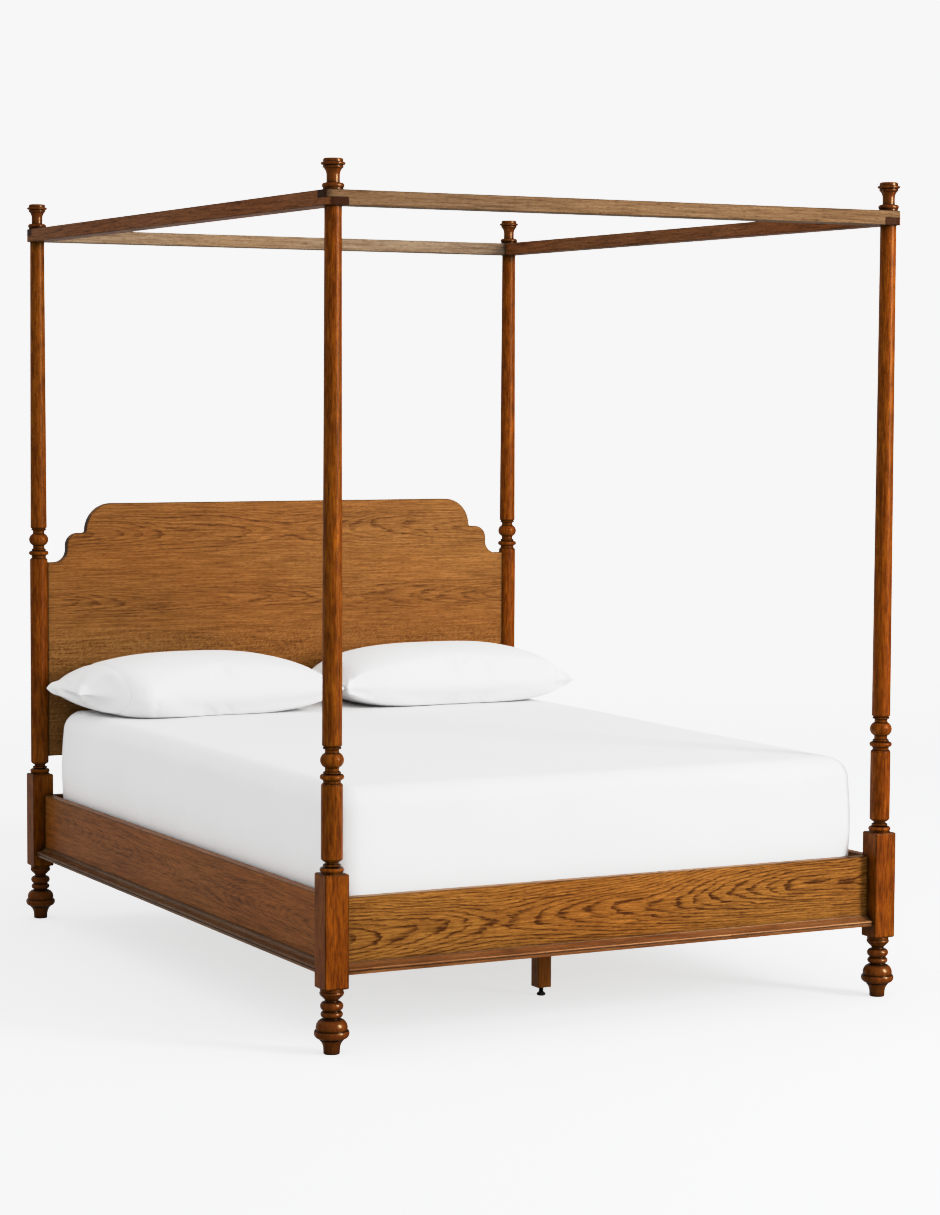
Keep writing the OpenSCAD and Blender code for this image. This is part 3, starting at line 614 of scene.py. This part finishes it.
def make_mattress():
    """The mattress's core, and the fitted sheet stretched over it."""
    low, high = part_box("mattress")
    size = (high.x - low.x, high.y - low.y)
    sheet_cloth = cotton("sheet_cotton", (0.72, 0.72, 0.72))
    profile = rounded_profile(low.z + HEM, high.z - HEM, LOWER_EDGE, UPPER_EDGE, SIDE_BULGE)
    profile = [(inset, low.z + HEM) for inset in HEM_INSETS] + profile
    points, faces = mattress_shell(profile, 0.002, size, MATTRESS_CORNER, *CORE_GRID)
    # The core stays just inside the sheet
    core = [(x * 0.996, y * 0.997, low.z + 0.006 + (z - low.z) * 0.975) for x, y, z in points]
    steps, corner_steps, _ = CORE_GRID
    first = list(range(len(ring_of_mattress(0.0, *size, MATTRESS_CORNER, steps, corner_steps))))
    body = add_mesh("mattress_core", core, faces + [tuple(reversed(first))],
                    cotton("mattress_ticking", (0.66, 0.66, 0.65), 900.0), "mattress")
    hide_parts("mattress")
    points, faces = mattress_shell(profile[SHEET_FROM:], 0.003, size, MATTRESS_CORNER, *SHEET_GRID)
    uneven = []
    for x, y, z in points:
        ripple = noise.noise(Vector((x * 2.1, y * 1.7, z * 3.0))) * 0.0025
        uneven.append((x * (1 + ripple), y * (1 + ripple), z + ripple))
    sheet = add_mesh("fitted_sheet", uneven, faces, sheet_cloth, "mattress")
    thick = sheet.modifiers.new("cloth_thickness", "SOLIDIFY")
    thick.thickness = SHEET_THICKNESS


# Faces along and across a pillow
PILLOW_GRID = (96, 60)
# As shares of the pillow's height: where its seam lies, how thick its empty cuff is, and how high
# it stands before the cloth settles
SEAM_HEIGHT = 0.36
FLAP = 0.16
START_RISE = 0.90
# As shares of its half length: how far its filling reaches, and where its ends start to draw in
FILLED = 0.90
DRAWN_FROM, DRAWN_OVER = 0.55, 0.45
# How far the middle of its ends and of its sides pulls in, as shares
END_PULL = 0.035
SIDE_PULL = 0.03
# The cloth settling: frames, pressure, how much more cloth than filling, and the furthest shift
SIM_FRAMES = 16
PRESSURE = 3.0
GROWTH = 0.035
FURTHEST = 0.018
# A cuff's seam: how deep it draws the cloth in, and its half width as an ALONG count
SEAM_DEPTH = 0.003
SEAM_WIDTH = 0.025


class End:
    """One end of a pillow: how far its front and back corners draw in, how far the end lifts, and how
    far its filling stays full before it falls away to the cuff.
    """

    def __init__(self, front, back, lift, fullness=2.7):
        self.front = front
        self.back = back
        self.lift = lift
        self.fullness = fullness


# Where each pillow's cuff is sewn on, and its left and right end as they lie
CUFF_SEAMS = {"left": -0.70, "right": 0.84}
PILLOW_ENDS = {"left": (End(0.20, 0.01, 0.000), End(0.00, 0.15, 0.004)),
               "right": (End(0.02, 0.07, 0.004), End(0.02, 0.20, 0.000, fullness=3.6))}


def pillow_envelope(low, high, ends):
    """A plump pillowcase before it settles: two crowned layers that meet in a seam."""
    nx, ny = PILLOW_GRID
    cx = (low.x + high.x) / 2
    half_x = (high.x - low.x) / 2
    height = high.z - low.z
    points, index = [], {}
    for layer in (1, -1):
        for i in range(nx + 1):
            u = 2 * i / nx - 1
            end = ends[u > 0]
            near_end = max(0.0, (abs(u) - DRAWN_FROM) / DRAWN_OVER)
            draw = near_end * near_end * (3 - 2 * near_end)
            front, back = low.y + draw * end.front, high.y - draw * end.back
            filled = max(0.0, 1 - (abs(u) / FILLED) ** end.fullness) ** 0.64
            flap = FLAP * max(0.0, 1 - abs(u) ** 9) ** 0.5
            for j in range(ny + 1):
                v = 2 * j / ny - 1
                rim = i in (0, nx) or j in (0, ny)
                if layer < 0 and rim:
                    index[layer, i, j] = index[1, i, j]
                    continue
                across = max(0.0, 1 - abs(v) ** 2.6) ** 0.56
                swell = (filled * (1 - FLAP) + flap) * across
                rise = height * (START_RISE - SEAM_HEIGHT if layer > 0 else SEAM_HEIGHT)
                seam = low.z + SEAM_HEIGHT * height + end.lift * draw
                x = cx + u * half_x * (1 - END_PULL * (1 - v * v) * abs(u) ** 3)
                pulled = 1 - SIDE_PULL * (1 - u * u) * abs(v) ** 3
                y = (front + back) / 2 + v * (back - front) / 2 * pulled
                index[layer, i, j] = len(points)
                points.append((x, y, seam + layer * rise * swell))
    faces = []
    for i in range(nx):
        for j in range(ny):
            for layer in (1, -1):
                quad = [index[layer, i, j], index[layer, i + 1, j], index[layer, i + 1, j + 1],
                        index[layer, i, j + 1]]
                faces.append(tuple(quad if layer > 0 else reversed(quad)))
    return points, faces


def crumple(piece, low, high):
    """Lets the cloth find its own folds: a little more cloth than filling, under pressure.

    No point moves further than FURTHEST from where it started, nor out of the box from low to high.
    """
    start = [v.co.copy() for v in piece.data.vertices]
    cloth = piece.modifiers.new("cloth", "CLOTH")
    settings = cloth.settings
    settings.quality = 6
    settings.mass = 0.15
    settings.tension_stiffness = 20.0
    settings.compression_stiffness = 20.0
    settings.shear_stiffness = 8.0
    settings.bending_stiffness = 0.6
    settings.use_pressure = True
    settings.uniform_pressure_force = PRESSURE
    settings.shrink_min = -GROWTH
    settings.shrink_max = -GROWTH
    settings.effector_weights.gravity = 0.0
    cloth.point_cache.frame_start = 1
    cloth.point_cache.frame_end = SIM_FRAMES
    scene = bpy.context.scene
    for step in range(1, SIM_FRAMES + 1):
        scene.frame_set(step)
    settled = piece.evaluated_get(bpy.context.evaluated_depsgraph_get())
    moved = [v.co.copy() for v in settled.data.vertices]
    piece.modifiers.remove(cloth)
    scene.frame_set(1)
    for vertex, before, after in zip(piece.data.vertices, start, moved):
        shift = after - before
        if shift.length > FURTHEST:
            shift *= FURTHEST / shift.length
        place = before + shift
        vertex.co = [min(max(place[k], low[k]), high[k]) for k in range(3)]


def sew(piece, seam):
    """Draws the cloth in along a cuff's seam, which lies where ALONG counts to seam."""
    along = [0.0] * len(piece.data.vertices)
    piece.data.attributes[ALONG].data.foreach_get("value", along)
    normals = [v.normal.copy() for v in piece.data.vertices]
    for vertex, place, normal in zip(piece.data.vertices, along, normals):
        near_seam = max(0.0, 1 - abs(place - seam) / SEAM_WIDTH)
        vertex.co -= normal * SEAM_DEPTH * near_seam


def make_pillow(side):
    """One pillow in its case, settled by the cloth simulation."""
    name = f"pillow_{side}"
    cloth = cotton(f"pillow_cotton_{side}", (0.74, 0.74, 0.74), seam=CUFF_SEAMS[side])
    low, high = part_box(name)
    points, faces = pillow_envelope(low, high, PILLOW_ENDS[side])
    piece = add_mesh(f"pillowcase_{side}", points, faces, cloth, name)
    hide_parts(name)
    reach = (high.x - low.x) / 2
    along = piece.data.attributes.new(ALONG, "FLOAT", "POINT")
    along.data.foreach_set("value", [(p[0] - low.x) / reach - 1 for p in points])
    crumple(piece, low, high)
    sew(piece, CUFF_SEAMS[side])
    rounder = piece.modifiers.new("rounder", "SUBSURF")
    rounder.levels = 1
    rounder.render_levels = 1


# ---------- studio ----------

# Where the photograph's tones lie: light that reaches the camera, and how bright it is shown
TONES_SHOWN = ((0.0, 0.0), (0.06, 0.048), (0.15, 0.14), (0.30, 0.34), (0.55, 0.68), (0.80, 0.79),
               (1.10, 0.86), (1.50, 0.93), (2.0, 1.0))
BACKDROP = 1.5

# The lamp, and the floor with the distances between which it fades
KEY_PLACE = Vector((4.4, -6.6, 3.5))
KEY_AIM = Vector((0.0, 0.0, 1.0))
KEY_SIZE = (1.7, 4.2)
KEY_POWER = 680.0
FLOOR_REACH = 14.0
FLOOR_CORNERS = 96
FLOOR_FADE = (4.0, 9.0)


def develop():
    """A camera's tone curve, with soft whites."""
    settings = bpy.context.scene.view_settings
    settings.view_transform = "Standard"
    settings.use_curve_mapping = True
    mapping = settings.curve_mapping
    white = TONES_SHOWN[-1][0]
    mapping.white_level = (white, white, white)
    curve = mapping.curves[3]
    for light, shown in TONES_SHOWN[1:-1]:
        curve.points.new(light / white, shown)
    mapping.update()


class Sky:
    """The studio round the bed, as brightness by direction."""

    def __init__(self):
        world = bpy.data.worlds.new("studio")
        bpy.context.scene.world = world
        world.use_nodes = True
        self.tree = world.node_tree
        self.tree.nodes.clear()
        self.place = self.tree.nodes.new("ShaderNodeTexCoord").outputs["Generated"]
        self.path = self.tree.nodes.new("ShaderNodeLightPath").outputs

    def glow(self, towards, near, far, dim, bright):
        """A background from dim, where the direction's share along towards is near, to bright at far."""
        share = self.tree.nodes.new("ShaderNodeVectorMath")
        share.operation = "DOT_PRODUCT"
        share.inputs[1].default_value = towards
        level = self.tree.nodes.new("ShaderNodeMapRange")
        for key, value in (("From Min", near), ("From Max", far), ("To Min", dim), ("To Max", bright)):
            level.inputs[key].default_value = value
        made = self.tree.nodes.new("ShaderNodeBackground")
        made.inputs["Color"].default_value = (1.0, 1.0, 1.0, 1.0)
        self.tree.links.new(self.place, share.inputs[0])
        self.tree.links.new(share.outputs["Value"], level.inputs["Value"])
        self.tree.links.new(level.outputs[0], made.inputs["Strength"])
        return made.outputs[0]

    def choose(self, ray, otherwise, then):
        """The background then for one kind of ray, and otherwise for the rest."""
        mix = self.tree.nodes.new("ShaderNodeMixShader")
        self.tree.links.new(self.path[ray], mix.inputs[0])
        self.tree.links.new(otherwise, mix.inputs[1])
        self.tree.links.new(then, mix.inputs[2])
        return mix.outputs[0]

    def finish(self, shader):
        out = self.tree.nodes.new("ShaderNodeOutputWorld")
        self.tree.links.new(shader, out.inputs[0])


def add_studio():
    """A bright backdrop, soft light from all round and a tall lamp at the right."""
    sky = Sky()
    soft = sky.glow((0.34, -0.45, 0.82), -1.0, 1.0, 0.72, 1.14)
    reflected = sky.glow((0.0, 1.0, 0.0), 0.55, 0.92, 0.04, 0.42)
    backdrop = sky.glow((0.0, 0.0, 1.0), -1.0, 1.0, BACKDROP, BACKDROP)
    sky.finish(sky.choose("Is Camera Ray", sky.choose("Is Glossy Ray", soft, reflected), backdrop))

    data = bpy.data.lights.new("key", "AREA")
    data.shape = "RECTANGLE"
    data.size, data.size_y = KEY_SIZE
    data.energy = KEY_POWER
    lamp = bpy.data.objects.new("key", data)
    bpy.context.scene.collection.objects.link(lamp)
    lamp.location = KEY_PLACE
    lamp.rotation_euler = (KEY_AIM - KEY_PLACE).to_track_quat("-Z", "Y").to_euler()


def add_floor():
    """A white floor that fades into the backdrop."""
    mesh = bpy.data.meshes.new("floor")
    points = [(0.0, 0.0, 0.0)]
    for k in range(FLOOR_CORNERS):
        angle = 2 * math.pi * k / FLOOR_CORNERS
        points.append((FLOOR_REACH * math.cos(angle), FLOOR_REACH * math.sin(angle), 0.0))
    mesh.from_pydata(points, [], [(0, 1 + k, 1 + (k + 1) % FLOOR_CORNERS) for k in range(FLOOR_CORNERS)])
    floor = bpy.data.objects.new("floor", mesh)
    bpy.context.scene.collection.objects.link(floor)
    g = Graph("floor")
    x, y, _ = g.parts(g.place())
    away = g.math("SQRT", g.math("ADD", g.math("MULTIPLY", x, x), g.math("MULTIPLY", y, y)))
    diffuse = g.node("ShaderNodeBsdfDiffuse")
    diffuse.inputs["Color"].default_value = (0.70, 0.71, 0.73, 1.0)
    glow = g.node("ShaderNodeEmission")
    glow.inputs["Color"].default_value = (0.52, 0.52, 0.52, 1.0)
    both = g.node("ShaderNodeAddShader")
    clear = g.node("ShaderNodeBsdfTransparent")
    fade = g.node("ShaderNodeMixShader")
    out = g.node("ShaderNodeOutputMaterial")
    g.tree.links.new(diffuse.outputs[0], both.inputs[0])
    g.tree.links.new(glow.outputs[0], both.inputs[1])
    # Light that bounces off the floor is weaker than the floor looks, as on a darkened stage
    dim = g.node("ShaderNodeBsdfDiffuse")
    dim.inputs["Color"].default_value = (0.55, 0.55, 0.55, 1.0)
    seen = g.node("ShaderNodeMixShader")
    g.tree.links.new(g.node("ShaderNodeLightPath").outputs["Is Camera Ray"], seen.inputs[0])
    g.tree.links.new(dim.outputs[0], seen.inputs[1])
    g.tree.links.new(both.outputs[0], seen.inputs[2])
    g.tree.links.new(g.range(away, *FLOOR_FADE, smooth=True), fade.inputs[0])
    g.tree.links.new(seen.outputs[0], fade.inputs[1])
    g.tree.links.new(clear.outputs[0], fade.inputs[2])
    g.tree.links.new(fade.outputs[0], out.inputs[0])
    mesh.materials.append(g.material)
    floor.visible_glossy = False


add_camera()
develop()
add_studio()
add_floor()
wood_posts()
wood_rails()
wood_headboard()
wood_canopy()
wood_legs()
pine()
metals()
make_mattress()
for pillow_side in ("left", "right"):
    make_pillow(pillow_side)
